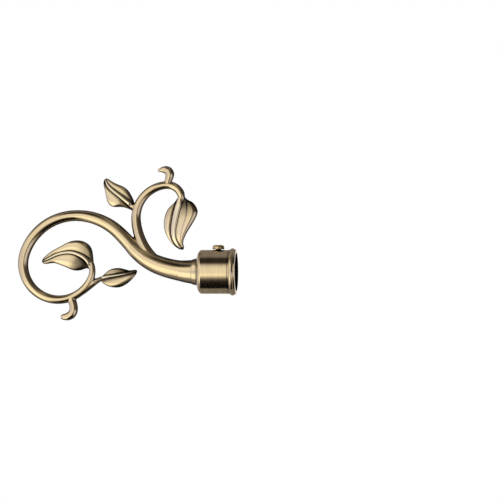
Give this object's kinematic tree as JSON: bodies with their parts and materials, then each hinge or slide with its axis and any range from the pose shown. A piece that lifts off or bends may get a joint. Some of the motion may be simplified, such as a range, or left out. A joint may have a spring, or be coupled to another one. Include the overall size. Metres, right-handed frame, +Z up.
{
  "type": "curtain finial",
  "caption": "Scrolled leaf finial that closes the end of a curtain rod, with a turned socket and a set screw.",
  "frame": {"origin": "centre of the socket's mouth, on the axis of the rod bore", "axes": "+X out of the mouth along the rod, +Z up with the set screw on top, +Y across the flat scroll, which lies in the XZ plane towards -X"},
  "size_m": [0.1478, 0.032, 0.104],
  "materials": {
    "cast_brass": "antique brass, dark in the recesses and rubbed bright on the rounds",
    "turned_brass": "antique brass, brushed round the socket",
    "screw_brass": "antique brass",
    "plated_steel": "zinc plated"
  },
  "bodies": {
    "finial": {"scroll_casting": "cast_brass", "rod_socket": "turned_brass", "fixing_screw": "plated_steel", "spring_washer": "plated_steel"},
    "set_screw": {"set_screw": "screw_brass"}
  },
  "joints": [
    {"name": "set_screw_travel", "type": "slide", "parent": "finial", "child": "set_screw", "axis": [0, 0, -1], "range_m": [-0.0015, 0.00035]}
  ]
}
